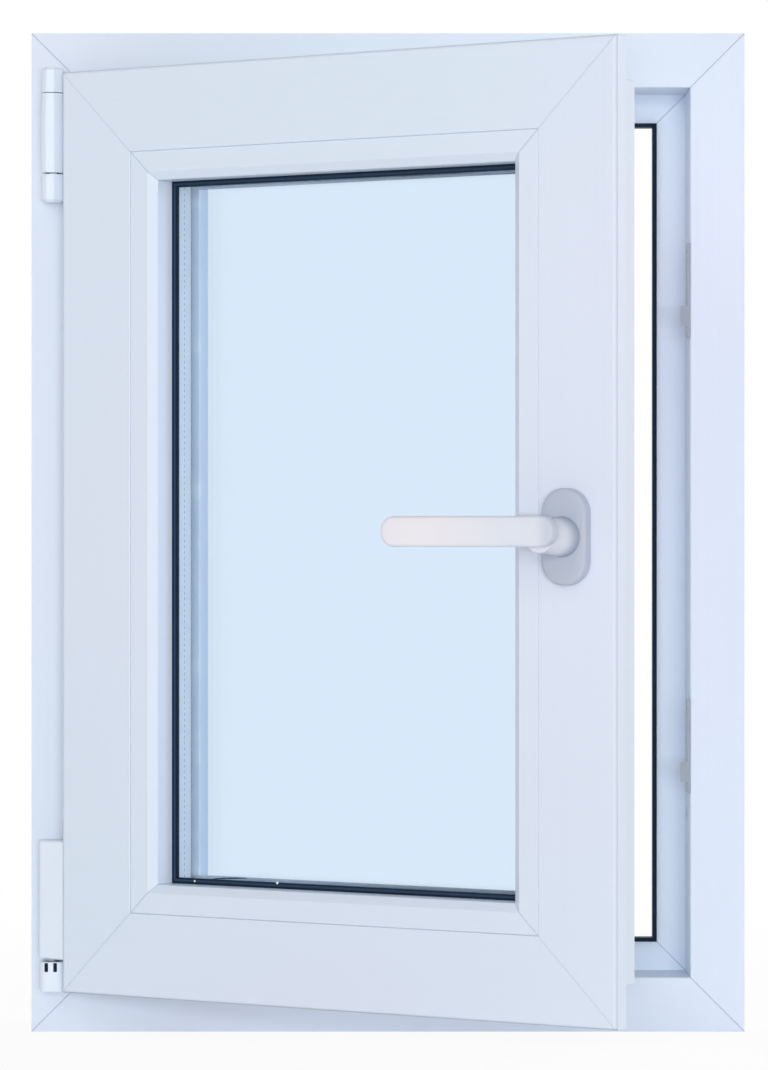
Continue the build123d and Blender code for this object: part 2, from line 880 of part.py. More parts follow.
cover_right = pivot_offset - cover_leaf_gap
with BuildPart() as bottom_hinge_cover:
    with BuildSketch(on_leaf_level(cover_bottom)):
        box_profile(-cap_radius, 0, cap_radius, cap_radius)
        bevel_corners(cap_corner, (-cap_radius, cap_radius), (cap_radius, cap_radius))
        box_profile(-cover_width / 2, -cover_nose, cover_right, 0)
        round_corners(cover_corner_radius, (-cover_width / 2, -cover_nose))
    extrude(amount=cover_top - cover_bottom)
    cover_ends = bottom_hinge_cover.faces().filter_by(Axis.Z)
    chamfer(cover_ends.edges(), cover_edge_chamfer)
    add(bottom_hinge_band.part, mode=Mode.SUBTRACT)
save(bottom_hinge_cover, "bottom_hinge_cover")


# Handle: a plate on the lock stile and a lever on a neck, turned towards the hinge side
def handle_plane(distance):
    """A plane facing the room at a distance in front of the leaf's face."""
    return on_leaf((handle_x, leaf_front - distance, handle_height), (1, 0, 0), (0, -1, 0))


with BuildPart() as handle_plate:
    for (distance, inset) in (
        (0, 0),
        (handle_plate_thickness - handle_plate_chamfer, 0),
        (handle_plate_thickness, 2 * handle_plate_chamfer),
    ):
        with BuildSketch(handle_plane(distance)):
            SlotOverall(handle_plate_height - inset, handle_plate_width - inset, rotation=90)
    loft(ruled=True)
    with BuildSketch(handle_plane(handle_plate_thickness - spindle_length)):
        Circle(spindle_radius + running_gap)
    extrude(amount=spindle_length, mode=Mode.SUBTRACT)
save(handle_plate, "handle_plate")

lever_back = handle_plate_thickness + running_gap + neck_length
with BuildPart() as handle_lever:
    for (distance, inset) in (
        (0, 2 * lever_chamfer),
        (lever_chamfer, 0),
        (lever_thickness - lever_chamfer, 0),
        (lever_thickness, 2 * lever_chamfer),
    ):
        with BuildSketch(handle_plane(lever_back + distance)):
            with Locations((-(lever_length - lever_width / 2) / 2, lever_rise)):
                SlotOverall(lever_length + lever_width / 2 - inset, lever_width - inset)
    loft(ruled=True)
    with BuildSketch(handle_plane(handle_plate_thickness + running_gap)):
        Circle(neck_radius)
    with BuildSketch(handle_plane(lever_back + lever_thickness / 2)):
        Circle(neck_top_radius)
    loft(ruled=True)
    with BuildSketch(handle_plane(handle_plate_thickness - spindle_length + running_gap)):
        Circle(spindle_radius)
    extrude(amount=spindle_length + neck_radius)
save(handle_lever, "handle_lever")


# Drain caps over the weep holes on the outdoor face: hoods that slope to the front
with BuildPart() as drain_caps:
    for cap_middle in (-drain_spacing / 2, drain_spacing / 2):
        cap_start = (cap_middle - drain_cap_length / 2, outdoor_face, drain_cap_z)
        with BuildSketch(fixed(cap_start, (0, 1, 0), (1, 0, 0))):
            with BuildLine():
                Polyline(
                    (0, drain_cap_height / 2),
                    (drain_cap_lip, drain_cap_height / 2),
                    (drain_cap_thickness, drain_cap_height / 2 - drain_cap_slope),
                    (drain_cap_thickness, -drain_cap_height / 2),
                    (0, -drain_cap_height / 2),
                    close=True,
                )
            make_face()
        extrude(amount=drain_cap_length)
save(drain_caps, "drain_caps")
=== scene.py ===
import json
import math

import bmesh
import bpy
from bpy.props import FloatProperty, FloatVectorProperty, IntProperty, PointerProperty
from mathutils import Matrix, Vector


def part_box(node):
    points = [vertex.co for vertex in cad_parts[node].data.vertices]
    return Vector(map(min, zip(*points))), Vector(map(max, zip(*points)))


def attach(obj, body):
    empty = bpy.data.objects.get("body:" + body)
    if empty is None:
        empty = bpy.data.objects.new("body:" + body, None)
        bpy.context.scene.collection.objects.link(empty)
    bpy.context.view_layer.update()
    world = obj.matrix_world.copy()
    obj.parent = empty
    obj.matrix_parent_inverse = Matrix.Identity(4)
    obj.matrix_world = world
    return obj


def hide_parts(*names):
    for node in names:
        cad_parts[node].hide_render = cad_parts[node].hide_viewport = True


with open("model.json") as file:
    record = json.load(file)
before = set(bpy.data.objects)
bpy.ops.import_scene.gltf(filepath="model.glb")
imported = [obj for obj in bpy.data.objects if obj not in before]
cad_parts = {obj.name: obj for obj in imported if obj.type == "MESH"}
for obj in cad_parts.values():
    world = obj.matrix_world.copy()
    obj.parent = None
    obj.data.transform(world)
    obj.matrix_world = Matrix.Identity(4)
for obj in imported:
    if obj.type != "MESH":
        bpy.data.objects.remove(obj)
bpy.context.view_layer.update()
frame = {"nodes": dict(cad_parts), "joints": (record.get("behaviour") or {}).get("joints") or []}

# A white uPVC tilt and turn window: its finishes, the fittings on it and the studio it stands in.
# Metres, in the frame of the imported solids: +X right seen from the room, +Y outdoors, +Z up.
# Pieces on the leaf are drawn where the leaf is shut, and carried to where it stands open.

bl_info = {
    "name": "Tilt and Turn Window",
    "version": (1, 0, 0),
    "blender": (4, 5, 0),
    "location": "View3D > Sidebar > Window",
    "description": "Gives a tilt and turn window its finishes, its fittings and a plain studio",
    "category": "Object",
}

# Where the leaf turns, and how far it stands open
turn_joint = next(joint for joint in frame["joints"] if joint["name"] == "turn")
PIVOT = Vector(turn_joint["pos_m"])
OPEN_ANGLE = math.radians(turn_joint["range_deg"][1])
AT_PIVOT = Matrix.Translation(PIVOT)
LEAF_OPEN = AT_PIVOT @ Matrix.Rotation(-OPEN_ANGLE, 4, "Z") @ AT_PIVOT.inverted()
LEAF_SHUT = LEAF_OPEN.inverted()


def shut_box(node):
    """A leaf node's lowest and highest corner where the leaf is shut."""
    places = [LEAF_SHUT @ vertex.co for vertex in frame["nodes"][node].data.vertices]
    return Vector(map(min, zip(*places))), Vector(map(max, zip(*places)))


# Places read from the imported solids
FRAME_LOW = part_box("frame_bottom_rail")[0]
FRAME_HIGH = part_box("frame_top_rail")[1]
LEAF_LOW = shut_box("leaf_bottom_rail")[0]
LEAF_HIGH = shut_box("leaf_top_rail")[1]
LEVER_LOW = shut_box("handle_lever")[0]
PLATE_LOW, PLATE_HIGH = shut_box("handle_plate")
BAND_LOW, BAND_HIGH = shut_box("bottom_hinge_band")
BLOCK_LOW, BLOCK_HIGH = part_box("bottom_hinge_block")
GASKET_LOW, GASKET_HIGH = shut_box("inner_glazing_seal")
HANDLE_X = (PLATE_LOW.x + PLATE_HIGH.x) / 2
HANDLE_Z = (PLATE_LOW.z + PLATE_HIGH.z) / 2
LEAF_FACE = LEAF_LOW.y
ROOM = Vector((0, -1, 0))
LEFT, RIGHT = Vector((-1, 0, 0)), Vector((1, 0, 0))
DOWN, UP = Vector((0, 0, -1)), Vector((0, 0, 1))

# How meshes are made: what stays sharp, what is welded, and the sides of the round rings
SHARP_ANGLE = math.radians(32)
WELD_DISTANCE = 0.00001
SMALLEST_RADIUS = 0.0002
BEVEL_STEPS = 2
SLOT_STEPS = 4
LIP_STEPS = 12
LIP_SIDES = 8
SPECK_SIDES = 12
HEAD_SIDES = 24
NECK_STEPS = 12
NECK_SIDES = 48

# Scales of the textures, in cycles per metre
PEEL_SCALE = 750
STREAK_ACROSS = 420
STREAK_ALONG = 2.5
DRIFT_SCALE = 2.2
GRAIN_SCALE = 2600
BLOOM_SCALE = 40
TARNISH_SCALE = 60
CLOUD_SCALE = 25
FLOOR_SCALE = 300
SLIT_PITCH = 250
BRUSHED_UPRIGHT = (1800, 1800, 40)
BRUSHED_LEVEL = (40, 1800, 1800)
CAST_GRAIN = (900, 900, 900)
SPACER_GRAIN = (300, 2500, 300)
RUBBED_GRAIN = (30, 30, 300)

# Depths of the textures
UPVC_DEPTH = 0.00001
FINE_DEPTH = 0.00002
RUBBER_DEPTH = 0.00003
CAST_DEPTH = 0.00004
SLIT_DEPTH = 0.0001

# Where a texture begins to show and where it is full
DRIFT_RANGE = (0.35, 0.7)
STREAK_RANGE = (0.45, 0.75)
BLOOM_RANGE = (0.5, 0.8)

# Roughness of each finish, and what its textures add to it or take from it
UPVC_ROUGHNESS = 0.3
BEAD_ROUGHNESS = 0.25
RUBBER_ROUGHNESS = 0.36
METAL_ROUGHNESS = 0.32
SCREW_ROUGHNESS = 0.26
ZINC_ROUGHNESS = 0.4
GLASS_ROUGHNESS = 0.02
SPACER_ROUGHNESS = 0.45
SEALANT_ROUGHNESS = 0.5
COVER_ROUGHNESS = 0.26
CAP_ROUGHNESS = 0.36
HANDLE_ROUGHNESS = 0.3
NECK_ROUGHNESS = 0.32
STREAK_ROUGHENS = 0.08
UPVC_PEEL_ROUGHENS = 0.06
PEEL_ROUGHENS = 0.1
BLOOM_ROUGHENS = 0.1
GRAIN_ROUGHENS = 0.2
METAL_SMOOTHS = 0.08
HOLDING_SMOOTHS = 0.08

# How strongly each finish mirrors, and how glass bends light
UPVC_SPECULAR = 0.45
RUBBER_SPECULAR = 0.16
COAT_SPECULAR = 0.5
HANDLE_SPECULAR = 0.4
GLASS_IOR = 1.5

# Shares of a colour: streaks drawn on, and colours made paler or darker in patches
STREAK_SHARE = 0.1
DUST_GAIN = 1.6
DUST_LIFT = 0.004
TARNISH_SHADE = 0.82
CLOUD_SHADE = 0.95
SEALANT_COLOUR = (0.9, 0.9, 0.9, 1)

# The spacer's slits: half widths in metres and half lengths in pitches, each where the slit is
# full and where it is gone, then the slits' shade and how strongly the bar's grain stands out
SLIT_SIDES = (0.0003, 0.0006)
SLIT_ENDS = (0.2, 0.28)
SLIT_SHADE = 0.55
SLIT_GRAIN = 0.3

# The welded seam's line: its half widths where it is full and where it is gone, and its strength
SEAM_DARK = 0.0002
SEAM_CLEAR = 0.0009
FRAME_SEAM = 0.45
LEAF_SEAM = 0.25
BEAD_SEAM = 0.4

# The painted shade line along the leaf's rounded edges, darkest along the lower one: its width,
# depth, strength and share all round
RIM_SHADE_WIDTH = 0.0016
RIM_SHADE_DEPTH = 0.0016
RIM_SHADE_CLEAR = 0.0026
RIM_SHADE_SHARE = 0.35
LEAF_RIM_SHADE = 0.95

# The painted highlight along the gasket's ridge: how far it lies in from the gasket's outer edge,
# and its half widths
RIDGE_HIGHLIGHT_INSET = 0.0082
RIDGE_HIGHLIGHT_FULL = 0.0004
RIDGE_HIGHLIGHT_CLEAR = 0.0011

# The lifted lip: where it starts from the gasket's outer corner, its run and its thickness
LIP_START = 0.039
LIP_HEIGHT = 0.0101
LIP_LENGTH = 0.027
LIP_RISE = 0.0026
LIP_DROOP = 0.4
LIP_RADIUS = 0.0004
LIP_THINNEST = 0.35
LIP_END = 0.08

# The specks: along and up from the gasket's outer corner, and their radii
SPECKS = ((0.025, 0.0082, 0.0007), (0.093, 0.0098, 0.0009))

# Domed heads: for each ring its share of the head's radius, then its height as a share
SPECK_DOME = ((1.05, -0.3), (1, 0.2), (0.7, 0.5), (0.3, 0.65))
RIVET_DOME = ((1, -0.2), (1, 0.25), (0.92, 0.6), (0.7, 0.88), (0.4, 1))

# Where the screws sit: shares of a keep's or a strip's length from its middle
KEEP_SCREWS = (-0.36, 0.36)
STRIP_SCREWS = (-0.46, -0.16, 0.16, 0.46)

# Where the hinge band's screw and the stay's rivet sit
BAND_SCREW_INSET = 0.0075
BAND_THICKNESS = 0.0015
ARM_HALF_WIDTH = 0.008

# The screws' heads, as shares: height of the rim, width of the face, and taper of the recess
HEAD_RIM = 0.4
HEAD_FACE = 0.86
RECESS_TAPER = 0.8

# The slots in the bearing block's front
SLOT_SHIFT = -0.001
SLOT_SPACING = 0.0062
SLOT_WIDTH = 0.0025
SLOT_RADIUS = SLOT_WIDTH / 3
SLOT_HEIGHT = 0.0068
SLOT_TOP = 0.0006
SLOT_FRONT = 0.0004
SLOT_BACK = 0.0018

# Shapes within the handle, and the painted shade on the lever and its neck
CROWN_START = 0.0018
CROWN_END = 0.0045
CROWN_RISE = 0.7
PLATE_FOOT = 0.0005
NECK_FLARE = 1.4
NECK_GAP = 0.0003
NECK_DEPTH = 0.003
NECK_SHADE_REACH = 0.015
LEVER_SHADE_REACH = 0.012
LEVER_SHADE = 0.4
HELD_AND_LIT_END = 0.03

# The floor: its size, how far it lies under the frame, and how its own light grows with distance
FLOOR_RADIUS = 9
FLOOR_SIDES = 96
FLOOR_DROP = 0.0002
FLOOR_NEAR = 0.3
FLOOR_FAR = 1.2
FLOOR_GLOW = 0.92

# Where the lamps on the room side stand along Y, and the height of the low one
FAR_LAMPS = -7
NEAR_LAMPS = -2.4
LOW_LAMP = 0.15


def colour_setting(name, description, default):
    """A colour that can be set in the panel."""
    return FloatVectorProperty(
        name=name, description=description, subtype="COLOR", size=4, min=0, max=1,
        default=(*default, 1),
    )


def length_setting(name, description, default, **limits):
    """A length in metres that can be set in the panel."""
    return FloatProperty(
        name=name, description=description, subtype="DISTANCE", unit="LENGTH",
        default=default, **limits,
    )


def power_setting(name, description, default):
    """The power of a lamp in watts."""
    return FloatProperty(
        name=name, description=description, subtype="POWER", unit="POWER", min=0, default=default,
    )


class FinishSettings(bpy.types.PropertyGroup):
    """Colours of the window's materials."""

    upvc: colour_setting("uPVC", "Colour of the frame, the leaf and the beads", (0.69, 0.774, 0.88))
    upvc_warm: colour_setting(
        "uPVC, warm patches", "Colour that the uPVC drifts to over its length",
        (0.722, 0.766, 0.885),
    )
    upvc_shade: colour_setting(
        "uPVC, streaks", "Colour of the faint streaks along the uPVC", (0.62, 0.695, 0.82),
    )
    seal: colour_setting("Seals", "Colour of the rubber seals", (0.004, 0.012, 0.028))
    glass: colour_setting(
        "Glass", "Colour of light that has passed one face of a pane", (0.905, 0.948, 0.99),
    )
    # A painted highlight along the middle of the glazing gasket's lip.
    gasket_highlight: colour_setting(
        "Gasket ridge", "Colour of the worn ridge along the glazing gasket", (0.022, 0.05, 0.105),
    )
    # This colour also paints the shade line along the leaf's rounded edges: painted shade.
    seam: colour_setting("Seams", "Colour of the welded seam at each mitre", (0.3, 0.36, 0.46))
    outer_seal: colour_setting(
        "Outdoor seal", "Colour of the light rubber seal behind the glass", (0.82, 0.85, 0.9),
    )
    steel: colour_setting("Steel", "Colour of the plated steel gear", (0.43, 0.455, 0.5))
    zinc: colour_setting("Zinc", "Colour of the die cast keeps", (0.42, 0.46, 0.53))
    spacer: colour_setting("Spacer", "Colour of the bar between the panes", (0.86, 0.88, 0.91))
    cover: colour_setting(
        "Hinge covers", "Colour of the plastic caps over the hinges", (0.78, 0.865, 0.975),
    )
    lever: colour_setting("Lever", "Colour of the lever's powder coat", (0.83, 0.81, 0.855))
    # Painted shade: the darker colour that the lever's coat goes to towards its neck.
    lever_root: colour_setting(
        "Lever, at its neck", "Colour that the lever's coat drifts to at its neck",
        (0.72, 0.755, 0.84),
    )
    plate: colour_setting(
        "Handle plate", "Colour of the plate behind the lever", (0.48, 0.53, 0.63),
    )
    # Painted shade: the dark colour at the foot of the neck and where the lever turns into it.
    neck: colour_setting(
        "Handle neck", "Colour of the neck where it leaves the plate", (0.3, 0.37, 0.48),
    )


class HandleSettings(bpy.types.PropertyGroup):
    """Sizes of the lever and of the plate behind it."""

    lever_width: length_setting(
        "Lever width", "Height of the lever's face when it lies level", 0.02, min=0.01, max=0.03,
    )
    lever_thickness: length_setting(
        "Lever thickness", "Thickness of the lever from front to back", 0.011, min=0.005, max=0.015,
    )
    lever_rise: length_setting(
        "Lever rise", "How far the lever's middle line lies over its turning point",
        0.0035, min=0, max=0.005,
    )
    lever_root: length_setting(
        "Lever root", "How far the lever runs past its turning point", 0.0136, min=0.006, max=0.016,
    )
    lever_tip_radius: length_setting(
        "Lever tip radius", "Radius of the two corners at the lever's tip",
        0.0095, min=0.003, max=0.0098,
    )
    lever_edge: length_setting(
        "Lever edge", "Radius of the long edges of the lever", 0.0028, min=0.001, max=0.005,
    )
    neck_radius: length_setting(
        "Neck radius", "Radius of the neck where it leaves the plate", 0.0132, min=0.008, max=0.014,
    )
    neck_top_radius: length_setting(
        "Neck top radius", "Radius of the neck where it meets the lever",
        0.0102, min=0.006, max=0.012,
    )
    plate_edge: length_setting(
        "Plate edge", "Radius of the plate's front edge", 0.0026, min=0.001, max=0.004,
    )
    crown: length_setting(
        "Crown", "How far the faces of the lever and the plate stand proud",
        0.0005, min=0, max=0.0008,
    )
    steps: IntProperty(
        name="Rounding steps", description="Faces along a rounded corner or edge",
        min=2, max=16, default=8,
    )


class FittingSettings(bpy.types.PropertyGroup):
    """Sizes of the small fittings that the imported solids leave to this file."""

    screw_radius: length_setting(
        "Screw head radius", "Radius of the countersunk screw heads", 0.0031, min=0.001, max=0.004,
    )
    screw_proud: length_setting(
        "Screw head height", "How far a screw head stands above its plate",
        0.0004, min=0, max=0.001,
    )
    recess_reach: length_setting(
        "Recess reach", "From the middle of the cross recess to its end",
        0.0018, min=0.0005, max=0.002,
    )
    recess_width: length_setting(
        "Recess width", "Width of an arm of the cross recess", 0.0008, min=0.0002, max=0.001,
    )
    recess_depth: length_setting(
        "Recess depth", "Depth of the cross recess", 0.0012, min=0.0002, max=0.002,
    )
    keep_thickness: length_setting(
        "Keep thickness", "From the rebate's floor to the face of a keep",
        0.002, min=0.001, max=0.004,
    )
    rivet_radius: length_setting(
        "Rivet radius", "Radius of the rivet at the end of the stay", 0.0055, min=0.002, max=0.008,
    )
    rivet_height: length_setting(
        "Rivet height", "Height of the rivet's head", 0.0016, min=0.0005, max=0.003,
    )
    edge_bevel: length_setting(
        "Edge bevel", "Width of the fine bevel on the edges of the fittings",
        0.0004, min=0, max=0.001,
    )


class StudioSettings(bpy.types.PropertyGroup):
    """The camera, the lamps and the floor."""

    camera_side: length_setting("Camera side", "Where the camera stands along X", -0.0028)
    camera_distance: length_setting(
        "Camera distance", "From the room side of the frame to the camera", 3.047, min=1,
    )
    camera_height: length_setting("Camera height", "Height of the camera over the sill", 0.3482)
    lens: FloatProperty(
        name="Lens", description="Focal length of the camera",
        subtype="DISTANCE_CAMERA", unit="CAMERA", min=20, default=146.2,
    )
    ambient: FloatProperty(
        name="Ambient light", description="Strength of the even light from all round",
        min=0, default=0.33,
    )
    front_power: power_setting("Front lamp", "Power of the large lamp over the camera", 97)
    low_power: power_setting("Low lamp", "Power of the broad lamp just over the floor", 152)
    key_power: power_setting("Key lamp", "Power of the lamp up to the left of the camera", 9)
    fill_power: power_setting("Fill lamp", "Power of the lamp to the right of the camera", 2)
    back_power: power_setting(
        "Back lamp", "Power of the lamp to the right, on the outdoor side", 70,
    )
    rear_power: power_setting("Rear lamp", "Power of the lamp to the left, on the outdoor side", 45)
    floor: colour_setting("Floor", "Colour of the floor near the window", (0.94, 0.92, 0.92))


class Signal:
    """A shader socket that can be reckoned with: each sum or product adds its Math node."""

    def __init__(self, recipe, socket):
        self.recipe = recipe
        self.socket = socket

    def maths(self, operation, *others):
        sockets = dict(enumerate((self, *others)))
        return self.recipe.add("Math", {"operation": operation}, sockets)

    def __add__(self, other):
        return self.maths("ADD", other)

    __radd__ = __add__

    def __sub__(self, other):
        return self.maths("SUBTRACT", other)

    def __rsub__(self, other):
        return self.recipe.add("Math", {"operation": "SUBTRACT"}, {0: other, 1: self})

    def __mul__(self, other):
        return self.maths("MULTIPLY", other)

    __rmul__ = __mul__

    def __abs__(self):
        return self.maths("ABSOLUTE")

    def lower(self, other):
        """The lower of two values."""
        return self.maths("MINIMUM", other)


class Recipe:
    """The node tree of one finish, and the one place that adds nodes to it."""

    def __init__(self, tree):
        self.tree = tree
        self.tree.nodes.clear()

    def add(self, kind, settings=None, sockets=None, output=0):
        """Add a node: its settings first, then a value or a link for each socket named."""
        node = self.tree.nodes.new("ShaderNode" + kind)
        for (setting, value) in (settings or {}).items():
            setattr(node, setting, value)
        for (name, value) in (sockets or {}).items():
            self.feed(node.inputs[name], value)
        return Signal(self, node.outputs[output]) if node.outputs else node

    def feed(self, socket, value):
        if isinstance(value, Signal):
            self.tree.links.new(value.socket, socket)
        else:
            socket.default_value = value

    def place(self, leaf=False):
        """A point on the piece; one on the leaf is carried back to where the leaf is shut."""
        point = self.add("TexCoord", output="Object")
        if not leaf:
            return point
        move = {"Location": LEAF_SHUT.to_translation(), "Rotation": LEAF_SHUT.to_euler()}
        return self.add("Mapping", None, {"Vector": point, **move})

    def stretch(self, point, scale):
        """A point with each axis scaled on its own."""
        return self.add("VectorMath", {"operation": "MULTIPLY"}, {0: point, 1: scale})

    def axis(self, point, name):
        return self.add("SeparateXYZ", None, {0: point}, name)

    def noise(self, point, scale, detail=2.0):
        return self.add("TexNoise", None, {"Vector": point, "Scale": scale, "Detail": detail})

    def ease(self, value, low, high):
        """0 where value is low, 1 where it is high, and smooth in between."""
        settings = {"interpolation_type": "SMOOTHSTEP"}
        return self.add("MapRange", settings, {"Value": value, "From Min": low, "From Max": high})

    def blend(self, factor, first, second):
        """A colour that goes from first to second."""
        colours = {0: factor, 6: first, 7: second}
        return self.add("Mix", {"data_type": "RGBA"}, colours, 2)

    def bump(self, height, depth):
        """A normal from a height between 0 and 1, which stands for the depth given in metres."""
        return self.add("Bump", None, {"Height": height, "Distance": depth}, "Normal")

    def surface(self, shader):
        self.add("OutputMaterial", None, {"Surface": shader})


def new_finish(name):
    """A material with an empty recipe."""
    material = bpy.data.materials.new(name)
    material.use_nodes = True
    return material, Recipe(material.node_tree)


def principled(recipe, **sockets):
    """Close a recipe with the plain surface shader; socket names are given in small letters."""
    named = {name.replace("_", " ").title().replace("Ior", "IOR"): value
             for (name, value) in sockets.items()}
    recipe.surface(recipe.add("BsdfPrincipled", None, named))


def insets(recipe, point, low, high):
    """How far a point lies inwards of the upright and of the level sides of a box."""
    across = (high.x - low.x) / 2 - abs(recipe.axis(point, "X") - (low.x + high.x) / 2)
    height = recipe.axis(point, "Z")
    return across, (height - low.z).lower(high.z - height)


def seam_line(recipe, point, low, high):
    """1 along the mitres of a ring of members that fills the box from low to high."""
    (across, up) = insets(recipe, point, low, high)
    return 1 - recipe.ease(abs(across - up), SEAM_DARK, SEAM_CLEAR)


def rim_shade_line(recipe, point, low, high):
    """Painted shade: 1 along the rounded outer edges of the leaf's face, more so along the lower
    one.
    """
    (across, up) = insets(recipe, point, low, high)
    around = 1 - recipe.ease(across.lower(up), 0, RIM_SHADE_WIDTH)
    below = 1 - recipe.ease(recipe.axis(point, "Z") - low.z, 0, RIM_SHADE_WIDTH)
    front = 1 - recipe.ease(recipe.axis(point, "Y") - low.y, RIM_SHADE_DEPTH, RIM_SHADE_CLEAR)
    return (RIM_SHADE_SHARE * around + (1 - RIM_SHADE_SHARE) * below) * front


def upvc_finish(name, colours, along, leaf, seam_strength, rim_shade_strength, roughness):
    """Extruded uPVC: streaks along the member, a faint orange peel and a slow drift of tint."""
    material, recipe = new_finish(name)
    point = recipe.place(leaf)
    scale = [STREAK_ALONG if axis == along else STREAK_ACROSS for axis in "XYZ"]
    streaks = recipe.noise(recipe.stretch(point, scale), 1, 3)
    peel = recipe.noise(point, PEEL_SCALE, 1)
    drift = recipe.ease(recipe.noise(point, DRIFT_SCALE, 1), *DRIFT_RANGE)
    (low, high) = (LEAF_LOW, LEAF_HIGH) if leaf else (FRAME_LOW, FRAME_HIGH)
    seam = seam_strength * seam_line(recipe, point, low, high)
    # On the leaf the seam's colour also paints a shade line along its rounded edges: painted shade.
    if rim_shade_strength:
        seam += rim_shade_strength * rim_shade_line(recipe, point, low, high)
    plain = recipe.blend(drift, colours.upvc, colours.upvc_warm)
    shaded = STREAK_SHARE * recipe.ease(streaks, *STREAK_RANGE)
    drawn = recipe.blend(shaded, plain, colours.upvc_shade)
    principled(
        recipe,
        base_color=recipe.blend(seam, drawn, colours.seam),
        roughness=roughness + STREAK_ROUGHENS * streaks + UPVC_PEEL_ROUGHENS * peel,
        specular_ior_level=UPVC_SPECULAR,
        normal=recipe.bump(0.5 * streaks + 0.5 * peel, UPVC_DEPTH),
    )
    return material


def rubber_finish(name, colour):
    """Extruded rubber: dull, with a faint grain and a dusty bloom in patches."""
    material, recipe = new_finish(name)
    point = recipe.place()
    grain = recipe.noise(point, GRAIN_SCALE)
    bloom = recipe.ease(recipe.noise(point, BLOOM_SCALE, 3), *BLOOM_RANGE)
    dusty = [min(1, DUST_GAIN * channel + DUST_LIFT) for channel in colour[:3]] + [1]
    principled(
        recipe,
        base_color=recipe.blend(bloom, colour, dusty),
        roughness=RUBBER_ROUGHNESS + GRAIN_ROUGHENS * grain + BLOOM_ROUGHENS * bloom,
        specular_ior_level=RUBBER_SPECULAR,
        normal=recipe.bump(grain, RUBBER_DEPTH),
    )
    return material


def gasket_finish(name, colours):
    """The glazing gasket: black rubber with a painted highlight, a paler line along the middle of
    its lip.
    """
    material, recipe = new_finish(name)
    point = recipe.place(True)
    grain = recipe.noise(point, GRAIN_SCALE)
    (across, up) = insets(recipe, point, GASKET_LOW, GASKET_HIGH)
    # Painted highlight along the middle of the lip.
    ridge = 1 - recipe.ease(abs(across.lower(up) - RIDGE_HIGHLIGHT_INSET), RIDGE_HIGHLIGHT_FULL, RIDGE_HIGHLIGHT_CLEAR)
    principled(
        recipe,
        base_color=recipe.blend(ridge, colours.seal, colours.gasket_highlight),
        roughness=RUBBER_ROUGHNESS + GRAIN_ROUGHENS * grain,
        specular_ior_level=RUBBER_SPECULAR,
        normal=recipe.bump(grain, RUBBER_DEPTH),
    )
    return material


def metal_finish(name, colour, scale, leaf=False, roughness=METAL_ROUGHNESS, depth=FINE_DEPTH):
    """Plated or cast metal, brushed where the scale of its grain differs between the axes."""
    material, recipe = new_finish(name)
    point = recipe.place(leaf)
    grain = recipe.noise(recipe.stretch(point, scale), 1, 3)
    cloud = recipe.noise(point, TARNISH_SCALE, 2)
    dark = [TARNISH_SHADE * channel for channel in colour[:3]] + [1]
    principled(
        recipe,
        base_color=recipe.blend(cloud, dark, colour),
        metallic=1,
        roughness=roughness - METAL_SMOOTHS + GRAIN_ROUGHENS * grain,
        normal=recipe.bump(grain, depth),
    )
    return material


def glass_finish(name, colours):
    """Clear float glass: it lets light through with a slight tint and reflects at its face."""
    material, recipe = new_finish(name)
    through = recipe.add("BsdfTransparent", None, {"Color": colours.glass})
    gloss = recipe.add("BsdfGlossy", None, {"Color": (1, 1, 1, 1), "Roughness": GLASS_ROUGHNESS})
    leaving = recipe.add("NewGeometry", output="Backfacing")
    bending = GLASS_IOR + (1 / GLASS_IOR - GLASS_IOR) * leaving
    shine = recipe.add("Fresnel", None, {"IOR": bending})
    recipe.surface(recipe.add("MixShader", None, {0: shine, 1: through, 2: gloss}))
    return material


def spacer_finish(name, colours):
    """A pale matt bar with a row of fine slits along the middle of its face."""
    material, recipe = new_finish(name)
    point = recipe.place(True)
    grain = recipe.noise(recipe.stretch(point, SPACER_GRAIN), 1, 3)
    dark = [SLIT_SHADE * channel for channel in colours.spacer[:3]] + [1]
    (low, high) = shut_box("glass_spacer")
    beside = abs(recipe.axis(point, "Y") - (low.y + high.y) / 2)
    along = recipe.axis(point, "X") + recipe.axis(point, "Z")
    beat = abs((along * SLIT_PITCH).maths("FRACT") - 0.5)
    slit = (1 - recipe.ease(beside, *SLIT_SIDES)) * (1 - recipe.ease(beat, *SLIT_ENDS))
    principled(
        recipe,
        base_color=recipe.blend(slit, colours.spacer, dark),
        roughness=SPACER_ROUGHNESS + GRAIN_ROUGHENS * grain,
        normal=recipe.bump(SLIT_GRAIN * grain - slit, SLIT_DEPTH),
    )
    return material


def coat_finish(name, colour, roughness):
    """Powder coat or moulded plastic: an even colour with a fine peel."""
    material, recipe = new_finish(name)
    point = recipe.place()
    peel = recipe.noise(point, PEEL_SCALE, 2)
    cloud = recipe.noise(point, CLOUD_SCALE, 2)
    shade = [CLOUD_SHADE * channel for channel in colour[:3]] + [1]
    principled(
        recipe,
        base_color=recipe.blend(cloud, shade, colour),
        roughness=roughness + PEEL_ROUGHENS * peel,
        specular_ior_level=COAT_SPECULAR,
        normal=recipe.bump(peel, FINE_DEPTH),
    )
    return material


